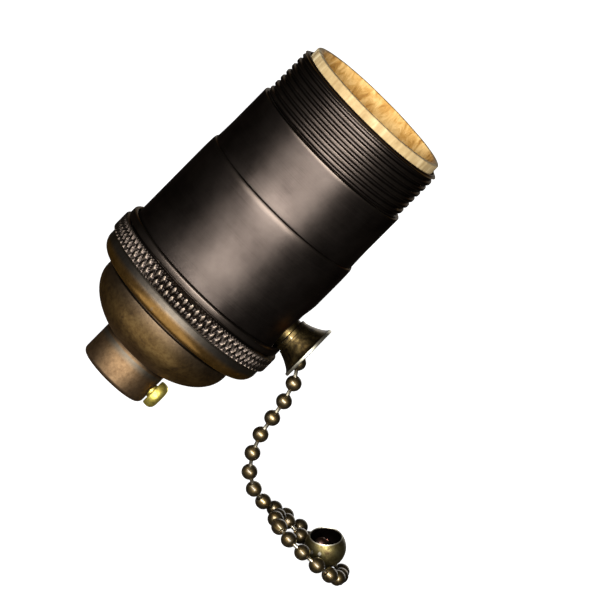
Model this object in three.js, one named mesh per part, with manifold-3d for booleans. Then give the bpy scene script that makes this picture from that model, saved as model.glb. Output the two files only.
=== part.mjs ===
// Lampholder with a pull-chain switch: a brass cap and shell, a fibre liner,
// the lamp's screw shell, and a ratchet switch worked by a beaded chain.
// Millimetres, +Z up along the lampholder's axis, the lamp opening at the top.
// Each piece is built about the lampholder's axis; the last group moves that axis
// so that the object's box, without the chain, is centred on the origin.

import * as THREE from 'three';
import { mergeVertices } from 'three/addons/utils/BufferGeometryUtils.js';
import Module from 'manifold-3d';

const wasm = await Module();
wasm.setup();

// ---- driving dimensions ----

const GAP = 0.3; // clearance between pieces that touch

// cap
const NECK_R = 7.8;
const NIPPLE_R = 4.7;
const NECK_TOP = 7.4;
const DOME = { r: 16.35, height: 9.6, rimZ: 15.9, wall: 1.2 };
const SKIRT = { r: 20.25, bottom: 17.3, round: 3.0 };
const KNURL = { r: 20.9, from: 22.2, to: 26.1 };
const RIM = { r: 20.4, top: 28.1 };
const SHELL_SEAT = { r: 19.5, ledgeR: 18.2, z: 22.2 };

// shell and its outside thread
const SHELL_BOTTOM = 22.5;
const SHELL_TOP = 74.8;
const SHELL_R = 19.2;
const SHELL_NECKED_R = 18.56;
const SHELL_STEP = { from: 47.8, creaseR: 18.95, crease: 49.9, to: 52.0 };
const SHELL_WALL = 0.9;
const THREAD = { crestR: 18.05, rootR: 17.6, boreR: 17.1, from: 63.5, pitch: 1.58, turns: 6 };
const SHOULDER = { innerR: 18.12, relief: 0.4 }; // flat ring below the thread, and its undercut

// liner
const LINER = { r: 16.8, boreR: 15.2, bottom: 24.0, top: 76.7 };

// lamp screw shell
const LAMP_SHELL = { r: 14.2, depth: 0.5, wall: 0.45, pitch: 3.6, waves: 6, bottom: 47.3, top: 71.5 };
const FLANGE_BORE_R = 7.6;

// moulded body: housing below, contact block above
const BODY_R = 14.6;
const HOUSING = { bottom: 23.5, floor: 26.5, top: 39.5, cavityR: 13.0, bossX: 9.4 };
const BLOCK = { bottom: 39.8, top: 47.0 };
const ASSEMBLY_SCREWS = [[10.9, -5.4], [-10.8, 0]];
const ASSEMBLY_SCREW_R = 1.0;
const RIVET_R = 0.8;
const SHELL_RIVETS = [[-5, -8.4], [5, 8.4]];
const CENTRE_RIVET_X = -5.5;

// switch works, all on one pin
const PIVOT = { x: 3, y: 7, r: 1.0 };
const LEVER_REACH = 7.321;
const LEVER_REST = -24.19; // degrees
const HUB_R = 2.4;
const RATCHET = { tipR: 4.2, rootR: 3.3, teeth: 8 };
const BRIDGE = { reach: 4.3, width: 2.4 };
const CONTACT_DISTANCE = 4.6; // from the pin's axis to each fixed contact

// chain, its bell and the ball on its end
const CHAIN_Z = 31.6;
const BEAD_R = 1.65;
const LINK_R = 0.45;
const BEAD_PITCH = 4.25;
const BELL = { boreR: 1.95, tubeR: 2.7, collarR: 3.4, lipR: 6.35, from: 9.8, collarX: 14.95, lipX: 25.1 };
const SLOT_HALF = 3.8; // half the width of the slot that clears the bell's collar
const BALL = { r: 4.3, wall: 0.4, mouthR: 3.4, holeR: 0.9, centre: [55.1, 8.9, 4.3] };
const BALL_FACING = new THREE.Vector3(-0.57, -0.41, 0.72).normalize(); // where its mouth looks
const BALL_TURN = new THREE.Quaternion().setFromUnitVectors(new THREE.Vector3(0, 0, 1), BALL_FACING);
const END_BEAD = [54.3, 8.4, 4.2]; // middle of the bead inside the ball

// middles of the beads of the chain's free stretch, from the bell to the ball
const CHAIN_ROUTE = [
  [27.0, 1.6, 24.8], [28.2, 2.3, 20.7], [28.9, 2.9, 16.5], [29.6, 3.5, 12.3],
  [31.1, 4.3, 8.3], [33.4, 5.5, 4.9], [36.5, 7.5, 2.65], [39.7, 10.2, 1.65],
  [42.45, 13.4, 1.65], [45.2, 16.7, 1.65], [48.9, 18.9, 1.65], [51.8, 16.0, 1.65],
  [50.1, 12.2, 1.65], [46.1, 13.4, 1.65], [44.0, 10.25, 1.65], [43.9, 6.4, 1.65],
  [45.5, 3.2, 1.65], [48.6, 1.0, 1.65], [52.35, 1.3, 1.65], [56.3, 2.5, 1.65],
  [59.6, 4.9, 1.65], [61.3, 8.5, 1.65], [61.6, 12.5, 1.65], [61.3, 16.5, 1.65],
  [57.6, 15.0, 1.65],
];

// terminals under the housing's floor
const TERMINAL_SCREW_R = 1.2;
const HOT = { x: -6, y: 7 };
const NEUTRAL = { x: -5, y: -6.2 };

// set screw in the cap's neck
const SET_SCREW = { z: 3.55, headR: 2.95, shankR: 1.55, from: 5.0, headX: 8.1, end: 10.5 };

const AXIS_X = (KNURL.r - BELL.lipX) / 2;

// ---- solids ----

/** A manifold solid with the outside of a closed three.js geometry. */
function solid(geometry) {
  const bare = geometry.clone();
  bare.deleteAttribute('normal');
  bare.deleteAttribute('uv');
  const merged = mergeVertices(bare, 1e-4);
  const points = merged.attributes.position;
  const corners = [];
  for (let i = 0; i < merged.index.count; i += 3) {
    const [a, b, c] = [0, 1, 2].map((k) => merged.index.getX(i + k));
    if (a !== b && b !== c && c !== a) corners.push(a, b, c);
  }
  if (signedVolume(points, corners) < 0) corners.reverse();
  const mesh = new wasm.Mesh({
    numProp: 3,
    vertProperties: new Float32Array(points.array),
    triVerts: new Uint32Array(corners),
  });
  return new wasm.Manifold(mesh);
}

/** Six times the volume inside a triangle mesh: negative where the faces point inwards. */
function signedVolume(points, corners) {
  const [a, b, c] = [new THREE.Vector3(), new THREE.Vector3(), new THREE.Vector3()];
  let sum = 0;
  for (let i = 0; i < corners.length; i += 3) {
    a.fromBufferAttribute(points, corners[i]);
    b.fromBufferAttribute(points, corners[i + 1]);
    c.fromBufferAttribute(points, corners[i + 2]);
    sum += a.dot(b.cross(c));
  }
  return sum;
}

/** A solid of revolution about Z from its half section, a closed ring of [radius, z] points. */
function turned(section, segments = 36) {
  const ring = [...section, section[0]].map(([r, z]) => new THREE.Vector2(r, z));
  return solid(new THREE.LatheGeometry(ring, segments).rotateX(Math.PI / 2));
}

/** An upright round bar at (x, y) from one height to another. */
function bar(r, from, to, [x, y] = [0, 0], segments = 16) {
  const cylinder = new THREE.CylinderGeometry(r, r, to - from, segments).rotateX(Math.PI / 2);
  return solid(cylinder.translate(x, y, (from + to) / 2));
}

/** A round bar along X, centred on (y, z). */
function barAlongX(r, from, to, [y, z], segments = 24) {
  const cylinder = new THREE.CylinderGeometry(r, r, to - from, segments).rotateZ(Math.PI / 2);
  return solid(cylinder.translate((from + to) / 2, y, z));
}

/** A box between two corners. */
function block([x0, y0, z0], [x1, y1, z1]) {
  const box = new THREE.BoxGeometry(x1 - x0, y1 - y0, z1 - z0);
  return solid(box.translate((x0 + x1) / 2, (y0 + y1) / 2, (z0 + z1) / 2));
}

/** A straight round rod between two points. */
function rod(r, from, to, segments = 8) {
  const [a, b] = [new THREE.Vector3(...from), new THREE.Vector3(...to)];
  const cylinder = new THREE.CylinderGeometry(r, r, a.distanceTo(b), segments);
  const turn = new THREE.Quaternion().setFromUnitVectors(
    new THREE.Vector3(0, 1, 0), b.clone().sub(a).normalize());
  cylinder.applyQuaternion(turn);
  const middle = a.add(b).multiplyScalar(0.5);
  return solid(cylinder.translate(...middle));
}

/** A ball at a point. */
function ballAt(r, [x, y, z], segments = 10) {
  return solid(new THREE.SphereGeometry(r, segments, Math.round(segments * 0.75)).translate(x, y, z));
}

/** A flat outline in XY, pushed up from one height to another. */
function plate(outline, from, to) {
  const shape = new THREE.Shape(outline.map(([x, y]) => new THREE.Vector2(x, y)));
  const slab = new THREE.ExtrudeGeometry(shape, { depth: to - from, bevelEnabled: false });
  return solid(slab.translate(0, 0, from));
}

/** A round section with an even number of sides, swept along a curve. */
function swept(curve, r, sides, steps) {
  const section = new THREE.Shape();
  section.absarc(0, 0, r, 0, 2 * Math.PI);
  return solid(new THREE.ExtrudeGeometry(section, {
    steps, extrudePath: curve, bevelEnabled: false, curveSegments: sides / 2,
  }));
}

/** The points of an arc of an ellipse in a half section, by angle in degrees from the outward radius. */
function arc([centreR, centreZ], radiusR, radiusZ, from, to, steps) {
  return Array.from({ length: steps + 1 }, (_, i) => {
    const angle = THREE.MathUtils.degToRad(from + ((to - from) * i) / steps);
    return [centreR + radiusR * Math.cos(angle), centreZ + radiusZ * Math.sin(angle)];
  });
}

/** A slot that opens downwards and ends in a half circle round the chain's line. */
function bellSlot() {
  const legs = block([12, -SLOT_HALF, 0], [24, SLOT_HALF, CHAIN_Z]);
  return legs.add(barAlongX(SLOT_HALF, 12, 24, [0, CHAIN_Z]));
}

// ---- the object ----

const COLOURS = {
  bronze: { color: 0x2b2420, metalness: 0.9, roughness: 0.4 },
  agedBrass: { color: 0x5a4526, metalness: 0.9, roughness: 0.4 },
  brass: { color: 0xb08d3c, metalness: 1.0, roughness: 0.3 },
  fibre: { color: 0xd2a868, metalness: 0.0, roughness: 0.9 },
  blackFibre: { color: 0x26221f, metalness: 0.0, roughness: 0.9 },
  aluminium: { color: 0xb9bbbd, metalness: 1.0, roughness: 0.35 },
  phenolic: { color: 0x2a1c16, metalness: 0.0, roughness: 0.5 },
  steel: { color: 0x9a9c9e, metalness: 1.0, roughness: 0.35 },
  copper: { color: 0xa9683c, metalness: 1.0, roughness: 0.35 },
};

/** A named mesh of a solid, in one of the colours above. */
function piece(name, shape, colour) {
  const { vertProperties, triVerts } = shape.getMesh();
  const geometry = new THREE.BufferGeometry();
  geometry.setAttribute('position', new THREE.BufferAttribute(vertProperties, 3));
  geometry.setIndex(new THREE.BufferAttribute(triVerts, 1));
  geometry.computeVertexNormals();
  const mesh = new THREE.Mesh(geometry, new THREE.MeshStandardMaterial(COLOURS[colour]));
  mesh.name = name;
  return mesh;
}

/** The cap: threaded neck, dome, knurled skirt and the seat for the shell. */
function socketCap() {
  const start = THREE.MathUtils.radToDeg(Math.acos(NECK_R / DOME.r));
  const innerR = DOME.r - DOME.wall;
  const innerHeight = DOME.height - DOME.wall;
  const neckRoof = THREE.MathUtils.radToDeg(Math.acos((NECK_R - DOME.wall) / innerR));
  const skirtCentre = [SKIRT.r - SKIRT.round, SKIRT.bottom + SKIRT.round];
  const section = [
    [NIPPLE_R, 0], [NECK_R - 0.7, 0], [NECK_R, 0.7],
    ...arc([0, DOME.rimZ], DOME.r, DOME.height, -start, 0, 5), [DOME.r, SKIRT.bottom],
    ...arc(skirtCentre, SKIRT.round, SKIRT.round, -90, 0, 3),
    [SKIRT.r, KNURL.from], [KNURL.r, KNURL.from + 0.3], [KNURL.r, KNURL.to - 0.3],
    [RIM.r, KNURL.to], [RIM.r, RIM.top - 0.4], [RIM.r - 0.4, RIM.top],
    [SHELL_SEAT.r, RIM.top], [SHELL_SEAT.r, SHELL_SEAT.z], [SHELL_SEAT.ledgeR, SHELL_SEAT.z],
    [SHELL_SEAT.ledgeR, skirtCentre[1]], [DOME.r, SKIRT.bottom + DOME.wall],
    ...arc([0, DOME.rimZ], innerR, innerHeight, 0, -neckRoof, 4),
    [NIPPLE_R, NECK_TOP + 0.9],
  ];
  const screwHole = barAlongX(SET_SCREW.shankR + GAP, NIPPLE_R - 1, NECK_R + 1, [0, SET_SCREW.z]);
  return turned(section).subtract(screwHole);
}

/** A slotted round-head screw lying along X in the neck. */
function setScrew() {
  const { headR, shankR, from, headX, end } = SET_SCREW;
  const section = [
    [0, from], [shankR, from], [shankR, headX], [headR - 0.4, headX], [headR, headX + 0.4],
    [headR, end - 0.9], [headR - 0.5, end - 0.25], [headR - 1.2, end], [0, end],
  ];
  const slot = block([-headR, -0.4, end - 0.9], [headR, 0.4, end + 1]);
  return turned(section, 24).subtract(slot);
}

/** The dished fibre lining of the cap. */
function capInsulator() {
  const outerR = DOME.r - DOME.wall - GAP;
  const outerHeight = DOME.height - DOME.wall - GAP;
  const section = [
    ...arc([0, DOME.rimZ], outerR, outerHeight, -62, 0, 4),
    ...arc([0, DOME.rimZ], outerR - 0.8, outerHeight - 0.8, 0, -62, 4),
  ];
  return turned(section);
}

/** The shell, necked in above its step, with a thread of plain grooves and the bell's slot. */
function outerShell() {
  const grooves = [];
  for (let i = 0; i < THREAD.turns; i += 1) {
    const z = THREAD.from + 0.6 + i * THREAD.pitch;
    grooves.push([THREAD.rootR, z], [THREAD.crestR, z + THREAD.pitch / 2]);
  }
  const section = [
    [SHELL_R - SHELL_WALL, SHELL_BOTTOM], [SHELL_R, SHELL_BOTTOM], [SHELL_R, SHELL_STEP.from],
    [SHELL_STEP.creaseR, SHELL_STEP.crease], [SHELL_NECKED_R, SHELL_STEP.to],
    [SHELL_NECKED_R, THREAD.from], [SHOULDER.innerR, THREAD.from],
    [THREAD.rootR, THREAD.from - SHOULDER.relief],
    ...grooves,
    [THREAD.rootR, SHELL_TOP - 1.2], [THREAD.rootR - 0.2, SHELL_TOP], [THREAD.boreR, SHELL_TOP],
    [THREAD.boreR, THREAD.from - 0.7], [SHELL_NECKED_R - SHELL_WALL, THREAD.from - 1.3],
    [SHELL_NECKED_R - SHELL_WALL, SHELL_STEP.to - 0.2],
    [SHELL_R - SHELL_WALL, SHELL_STEP.from - 0.2],
  ];
  return turned(section).subtract(bellSlot());
}

/** The fibre tube between the shell and the live screw shell. */
function insulatingLiner() {
  const section = [
    [LINER.boreR, LINER.bottom], [LINER.r, LINER.bottom],
    [LINER.r, LINER.top], [LINER.boreR, LINER.top],
  ];
  return turned(section).subtract(bellSlot());
}

/** The wavy screw shell that takes the lamp, with the flange that is riveted down. */
function lampScrewShell() {
  const { r, depth, wall, pitch, waves, bottom, top } = LAMP_SHELL;
  const side = [];
  for (let i = 0; i < waves; i += 1) {
    const z = bottom + 1.6 + i * pitch;
    side.push([r - depth, z], [r, z + pitch / 2]);
  }
  side.push([r - depth, top - 0.4], [r, top]);
  const inside = side.map(([radius, z]) => [radius - wall, z]).reverse();
  const section = [
    [FLANGE_BORE_R, bottom], [r - depth, bottom], ...side,
    ...inside.slice(0, -1), [r - depth - wall, bottom + 0.5], [FLANGE_BORE_R, bottom + 0.5],
  ];
  return SHELL_RIVETS.reduce(
    (shape, place) => shape.subtract(bar(RIVET_R + GAP, bottom - 1, bottom + 1, place, 12)),
    turned(section, 32));
}

/** A rivet through a stack of pieces, with a head on each end. */
function rivet(place, from, to, headR = 1.5, headHeight = 0.7) {
  return bar(RIVET_R, from, to, place, 12)
    .add(bar(headR, from, from + headHeight, place, 16))
    .add(bar(headR, to - headHeight, to, place, 16));
}

/** One of the two long screws that hold the contact block on the housing. */
function assemblyScrew([x, y]) {
  const head = bar(1.7, 44.6, 46.1, [x, y]);
  const slot = block([x - 2, y - 0.3, 45.6], [x + 2, y + 0.3, 47]);
  return bar(ASSEMBLY_SCREW_R, HOUSING.floor + 1, 45, [x, y], 12).add(head).subtract(slot);
}

/** The moulded cup round the switch works, with the boss that the bell screws into. */
function switchHousing() {
  const { bottom, floor, top, cavityR, bossX } = HOUSING;
  const cavity = bar(cavityR, floor, top + 1, [0, 0], 36)
    .subtract(block([bossX, -20, 0], [30, 20, 60]))
    .subtract(bar(2.3, 0, 60, ASSEMBLY_SCREWS[1]));
  let shape = bar(BODY_R, bottom, top, [0, 0], 36).subtract(cavity);
  for (const place of ASSEMBLY_SCREWS) {
    shape = shape.subtract(bar(ASSEMBLY_SCREW_R + GAP, floor + 0.5, top + 1, place));
  }
  for (const { x, y } of [HOT, NEUTRAL]) {
    shape = shape.subtract(bar(TERMINAL_SCREW_R + GAP, bottom - 1, floor - 0.3, [x, y]));
  }
  return shape
    .subtract(barAlongX(BELL.tubeR + GAP, bossX - 1, BODY_R + 1, [0, CHAIN_Z]))
    .subtract(bar(PIVOT.r + GAP, bottom + 1.2, floor + 1, [PIVOT.x, PIVOT.y]))
    .subtract(hotRiser(GAP).add(neutralRiser(GAP)))
    .subtract(block([-5.5, 11.2, 33.4], [-4.2, 14, top + 1]));
}

/** The moulded disc on top of the housing that carries the lamp's contacts. */
function contactBlock() {
  const { bottom, top } = BLOCK;
  let shape = bar(BODY_R, bottom, top, [0, 0], 36)
    .subtract(bar(PIVOT.r + GAP, bottom - 1, bottom + 1.7, [PIVOT.x, PIVOT.y]))
    .subtract(bar(RIVET_R + GAP, bottom - 1, top + 1, [CENTRE_RIVET_X, 0]))
    .subtract(neutralRiser(GAP))
    .subtract(block([-6.8, -11, top - 0.7], [-3.2, -6.7, top + 1]));
  for (const place of ASSEMBLY_SCREWS) {
    shape = shape.subtract(bar(ASSEMBLY_SCREW_R + GAP, bottom - 1, top + 1, place))
      .subtract(bar(2.1, 44.3, top + 1, place));
  }
  for (const place of SHELL_RIVETS) {
    shape = shape.subtract(bar(RIVET_R + GAP, bottom - 1, top + 1, place))
      .subtract(bar(1.8, bottom - 1, bottom + 2.2, place));
  }
  return shape;
}

/** The upright part of the hot terminal, or the slot for it when grown by a gap. */
function hotRiser(grow = 0) {
  const face = PIVOT.x - CONTACT_DISTANCE;
  return block([face - 0.5 - grow, 5.5 - grow, 22.6], [face + grow, 8.5 + grow, 38.6]);
}

/** The hot terminal: a tab for its screw and a riser that ends as a fixed contact. */
function hotTerminal() {
  const tab = block([HOT.x - 2.4, 5, 22.6], [PIVOT.x - CONTACT_DISTANCE, 9, 23.2]);
  return hotRiser().add(tab).subtract(bar(TERMINAL_SCREW_R + GAP, 20, 25, [HOT.x, HOT.y]));
}

/** The upright part of the neutral terminal, or the slot for it when grown by a gap. */
function neutralRiser(grow = 0) {
  return block([-6.5 - grow, -10.7 - grow, 22.6], [-3.5 + grow, -10.2 + grow, BLOCK.top]);
}

/** The neutral terminal: from its screw up to the screw shell's flange. */
function neutralTerminal() {
  const tab = block([-7.2, -10.7, 22.6], [-2.8, -3.8, 23.2]);
  const topTab = block([-6.5, -10.7, BLOCK.top - 0.4], [-3.5, -7, BLOCK.top]);
  return neutralRiser().add(tab).add(topTab)
    .subtract(bar(TERMINAL_SCREW_R + GAP, 20, 25, [NEUTRAL.x, NEUTRAL.y]))
    .subtract(bar(RIVET_R + GAP, BLOCK.top - 1, BLOCK.top + 1, SHELL_RIVETS[0]));
}

/** A slotted binding screw, head down, about its own axis. */
function terminalScrew() {
  const head = bar(2.6, 20.2, 22.3, [0, 0], 24);
  const slot = block([-3, -0.4, 19], [3, 0.4, 21]);
  return bar(TERMINAL_SCREW_R, 22, 25.8, [0, 0], 16).add(head).subtract(slot);
}

/** The strip from the second fixed contact to the rivet under the centre contact. */
function loadContact() {
  const face = PIVOT.y - CONTACT_DISTANCE;
  const blade = block([PIVOT.x - 1.5, face - 0.5, 36.4], [PIVOT.x + 1.5, face, 39.4]);
  const strip = block([CENTRE_RIVET_X - 1.8, -1.6, 39.0], [PIVOT.x + 1.5, face, 39.4]);
  return blade.add(strip).subtract(bar(RIVET_R + GAP, 38, 41, [CENTRE_RIVET_X, 0]));
}

/** The spring leaf that meets the lamp's centre, riveted at one end. */
function centreContact() {
  const leaf = [[-7, 47.3], [-3.8, 47.3], [-1.3, 50.6], [2.4, 50.6], [2.4, 51.1], [-1.6, 51.1],
    [-4.05, 47.8], [-7, 47.8]];
  const shape = new THREE.Shape(leaf.map(([x, z]) => new THREE.Vector2(x, z)));
  const strip = new THREE.ExtrudeGeometry(shape, { depth: 4.4, bevelEnabled: false })
    .rotateX(Math.PI / 2).translate(0, 2.2, 0);
  return solid(strip).add(bar(1.7, 50.9, 51.9, [0.4, 0]))
    .subtract(bar(RIVET_R + 0.4, 46, 49, [CENTRE_RIVET_X, 0]));
}

/** The pull lever: hub on the pin, arm to the chain's stud, and the drive pawl's seat. */
function pullLever() {
  const arm = block([-1.8, -LEVER_REACH, 29.4], [1.8, 0, 30.7]);
  const armEnd = bar(1.8, 29.4, 30.7, [0, -LEVER_REACH]);
  const pawlSeat = block([0, -1.2, 29.4], [5.3, 1.2, 30.7]);
  const stud = bar(0.7, 30, 33, [0, -LEVER_REACH], 12);
  const studHead = bar(1.8, 32.5, 33.1, [0, -LEVER_REACH]);
  return bar(HUB_R, 26.9, 33.2).add(arm).add(armEnd).add(pawlSeat).add(stud).add(studHead)
    .subtract(bar(PIVOT.r + GAP, 20, 40));
}

/** The spring leaf on the lever that pushes the ratchet wheel round. */
function drivePawl() {
  const foot = block([3, -1, 31.0], [5.1, 1, 31.5]);
  return foot.add(block([4.6, -1, 31.0], [5.1, 1, 35.4]));
}

/** Three turns of wire round the lever's hub. */
function returnSpring() {
  const wireR = 0.3;
  const coilR = HUB_R + GAP + wireR + 0.05;
  const turns = 3;
  const points = Array.from({ length: turns * 10 + 1 }, (_, i) => {
    const angle = (i * 2 * Math.PI) / 10;
    return new THREE.Vector3(
      coilR * Math.cos(angle), coilR * Math.sin(angle), 27.1 + (1.8 * i) / (turns * 10));
  });
  return swept(new THREE.CatmullRomCurve3(points), wireR, 6, turns * 12);
}

/** The eight saw teeth that the drive pawl pushes. */
function ratchetWheel() {
  const outline = [];
  for (let i = 0; i < RATCHET.teeth; i += 1) {
    for (const [r, part] of [[RATCHET.rootR, 0], [RATCHET.tipR, 0.12]]) {
      const angle = ((i + part) * 2 * Math.PI) / RATCHET.teeth;
      outline.push([r * Math.cos(angle), r * Math.sin(angle)]);
    }
  }
  return plate(outline, 33.8, 35.4).subtract(bar(PIVOT.r + GAP, 30, 40));
}

/** The moulded disc that carries the bridge contact. */
function rotor() {
  return bar(RATCHET.tipR, 35.7, 37.3, [0, 0], 24).subtract(bar(PIVOT.r + GAP, 30, 40));
}

/** The copper cross that joins the two fixed contacts in every other place. */
function bridgeContact() {
  const { reach, width } = BRIDGE;
  const across = block([-reach, -width / 2, 37.6], [reach, width / 2, 38.4]);
  const along = block([-width / 2, -reach, 37.6], [width / 2, reach, 38.4]);
  return across.add(along).subtract(bar(PIVOT.r + GAP, 30, 40));
}

/** The spring leaf in the housing's wall that stops the ratchet wheel turning back. */
function detentSpring() {
  const leaf = block([-5.2, 11.5, 34], [3.5, 11.9, 35.2]);
  return leaf.add(block([-5.2, 11.5, 34], [-4.7, 13.6, 35.2]));
}

/** The bell, about its own axis: tube in the housing's boss, collar, flare and lip. */
function chainBell() {
  const { boreR, tubeR, collarR, lipR, from, collarX, lipX } = BELL;
  const section = [
    [boreR, from], [tubeR, from], [tubeR, collarX], [collarR, collarX], [collarR, 20.5], [4.0, 20.5],
    [4.25, 21.2], [4.75, 22.4], [5.6, 24.2], [lipR, lipX - 0.6], [lipR, lipX], [lipR - 0.7, lipX],
    [4.9, 24.0], [4.0, 22.3], [3.2, 20.4], [boreR, 18.6],
  ];
  return turned(section, 32);
}

/** The stretch of chain that always stays straight: eyelet, links and beads. */
function chainInner() {
  const beads = [1, 2, 3, 4].map((i) => [i * BEAD_PITCH, 0, CHAIN_Z]);
  beads.push([21.2, 0, 31.0], [24.7, 0.6, 28.6]);
  const stops = [[1.9, 0, CHAIN_Z], ...beads, [25.9, 1.1, 26.6]];
  const eyelet = turned([[1.45, 31], [2.3, 31], [2.3, 32.2], [1.45, 32.2]], 24);
  let shape = eyelet;
  for (const place of beads) shape = shape.add(ballAt(BEAD_R, place));
  for (let i = 1; i < stops.length; i += 1) shape = shape.add(rod(LINK_R, stops[i - 1], stops[i]));
  return shape;
}

/** The plain tube that stands for the chain's beads from the bell to the ball. */
function chainFree() {
  const curve = new THREE.CatmullRomCurve3(CHAIN_ROUTE.map((p) => new THREE.Vector3(...p)));
  return swept(curve, BEAD_R, 8, 60);
}

/** The hollow ball on the chain's end, about its own centre, its mouth facing +Z. */
function chainBall() {
  const { r, wall, mouthR, holeR, centre } = BALL;
  const mouthZ = Math.sqrt(r * r - mouthR * mouthR);
  const turnBack = BALL_TURN.clone().invert();
  const [linkFrom, linkTo] = [END_BEAD, CHAIN_ROUTE.at(-1)].map((place) =>
    new THREE.Vector3(...place).sub(new THREE.Vector3(...centre)).applyQuaternion(turnBack).toArray());
  return ballAt(r, [0, 0, 0], 20)
    .subtract(ballAt(r - wall, [0, 0, 0], 20))
    .subtract(block([-9, -9, mouthZ], [9, 9, 9]))
    .subtract(rod(holeR, linkFrom, linkTo));
}

/** A group at a place, with its pieces. */
function groupAt([x, y, z], ...pieces) {
  const group = new THREE.Group();
  group.position.set(x, y, z);
  group.add(...pieces);
  return group;
}

const cap = groupAt([0, 0, 0],
  piece('socket_cap', socketCap(), 'bronze'),
  piece('cap_insulator', capInsulator(), 'blackFibre'));
const screwInNeck = groupAt([0, 0, SET_SCREW.z], piece('cap_set_screw', setScrew(), 'brass'));
screwInNeck.rotation.y = Math.PI / 2;

const casing = groupAt([0, 0, 0],
  piece('outer_shell', outerShell(), 'bronze'),
  piece('insulating_liner', insulatingLiner(), 'fibre'));

const lampContacts = groupAt([0, 0, 0],
  piece('lamp_screw_shell', lampScrewShell(), 'aluminium'),
  ...SHELL_RIVETS.map((place, i) => piece(`shell_rivet_${i + 1}`, rivet(place, 40.2, 48.8), 'brass')),
  piece('centre_contact', centreContact(), 'copper'),
  piece('centre_rivet', rivet([CENTRE_RIVET_X, 0], 38.0, 48.85), 'brass'));

const body = groupAt([0, 0, 0],
  piece('contact_block', contactBlock(), 'phenolic'),
  piece('switch_housing', switchHousing(), 'phenolic'),
  ...ASSEMBLY_SCREWS.map((place, i) => piece(`assembly_screw_${i + 1}`, assemblyScrew(place), 'steel')));

const wiring = groupAt([0, 0, 0],
  piece('hot_terminal', hotTerminal(), 'brass'),
  piece('neutral_terminal', neutralTerminal(), 'aluminium'),
  piece('load_contact', loadContact(), 'copper'),
  groupAt([HOT.x, HOT.y, 0], piece('hot_terminal_screw', terminalScrew(), 'brass')),
  groupAt([NEUTRAL.x, NEUTRAL.y, 0], piece('neutral_terminal_screw', terminalScrew(), 'steel')));

const lever = groupAt([0, 0, 0],
  piece('pull_lever', pullLever(), 'steel'),
  piece('drive_pawl', drivePawl(), 'copper'));
lever.rotation.z = THREE.MathUtils.degToRad(LEVER_REST);

const works = groupAt([PIVOT.x, PIVOT.y, 0],
  lever,
  piece('pivot_pin', bar(PIVOT.r, 25.1, 41.2, [0, 0], 16), 'steel'),
  piece('return_spring', returnSpring(), 'steel'),
  piece('ratchet_wheel', ratchetWheel(), 'steel'),
  piece('switch_rotor', rotor(), 'phenolic'),
  piece('bridge_contact', bridgeContact(), 'copper'));

const bell = groupAt([0, 0, CHAIN_Z], piece('chain_bell', chainBell(), 'agedBrass'));
bell.rotation.y = Math.PI / 2;

const ball = groupAt(BALL.centre, piece('chain_ball', chainBall(), 'agedBrass'));
ball.quaternion.copy(BALL_TURN);

const chain = groupAt([0, 0, 0],
  piece('chain_inner', chainInner(), 'agedBrass'),
  piece('chain_free', chainFree(), 'agedBrass'),
  ball,
  groupAt(END_BEAD, piece('chain_end_bead', ballAt(BEAD_R, [0, 0, 0]), 'agedBrass')));

const lampholder = groupAt([AXIS_X, 0, 0],
  cap, screwInNeck, casing, lampContacts, body, wiring,
  works, piece('detent_spring', detentSpring(), 'steel'), bell, chain);

export default lampholder;
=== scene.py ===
"""The looks of a lampholder with a pull-chain switch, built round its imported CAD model.

Lengths in the functions below are millimetres about the lampholder's own axis, +Z up, with the
chain's bell along +X; place() turns them into the row frame's metres.
"""

import math
import random

import bmesh
import bpy
from mathutils import Matrix, Quaternion, Vector


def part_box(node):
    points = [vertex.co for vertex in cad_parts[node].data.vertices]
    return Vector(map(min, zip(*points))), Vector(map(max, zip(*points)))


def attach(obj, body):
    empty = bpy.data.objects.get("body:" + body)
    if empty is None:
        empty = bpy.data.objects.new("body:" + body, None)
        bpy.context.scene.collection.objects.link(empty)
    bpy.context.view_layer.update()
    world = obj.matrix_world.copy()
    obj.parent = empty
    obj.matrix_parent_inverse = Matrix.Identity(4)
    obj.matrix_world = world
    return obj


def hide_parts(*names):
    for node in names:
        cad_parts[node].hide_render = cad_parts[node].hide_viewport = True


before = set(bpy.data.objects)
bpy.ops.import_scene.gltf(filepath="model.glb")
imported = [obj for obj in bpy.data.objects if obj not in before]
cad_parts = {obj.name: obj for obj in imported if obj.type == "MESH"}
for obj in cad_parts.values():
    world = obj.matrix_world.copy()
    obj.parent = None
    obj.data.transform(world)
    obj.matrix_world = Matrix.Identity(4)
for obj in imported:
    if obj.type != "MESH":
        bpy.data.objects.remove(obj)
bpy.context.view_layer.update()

MM = 0.001
SHELL_LOW, SHELL_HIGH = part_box("outer_shell")
AXIS_X = (SHELL_LOW.x + SHELL_HIGH.x) / 2
BELL_LOW, BELL_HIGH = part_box("chain_bell")
CHAIN_Z = (BELL_LOW.z + BELL_HIGH.z) / 2 / MM
TAU = 2 * math.pi
rng = random.Random(7)


# ---------------------------------------------------------------- camera and chain route


def look_from(distance, height, aim_x, aim_z, wide, roll):
    """A camera in front of the object, looking along +Y and down at a point on its mid plane."""
    aim = Vector((aim_x * MM + AXIS_X, 0, aim_z * MM))
    stand = Vector((aim.x, -distance * MM, height * MM))
    forward = (aim - stand).normalized()
    side = Vector((1, 0, 0))
    up = side.cross(forward)
    right = side * math.cos(roll) + up * math.sin(roll)
    top = up * math.cos(roll) - side * math.sin(roll)
    data = bpy.data.cameras.new("camera")
    data.sensor_width = 36
    data.lens = 36 * (aim - stand).length / (wide * MM)
    data.clip_start, data.clip_end = 0.05, 20
    camera = bpy.data.objects.new("camera", data)
    camera.matrix_world = Matrix(
        [(right[i], top[i], -forward[i], stand[i]) for i in range(3)] + [(0, 0, 0, 1)]
    )
    bpy.context.scene.collection.objects.link(camera)
    bpy.context.scene.camera = camera


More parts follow.
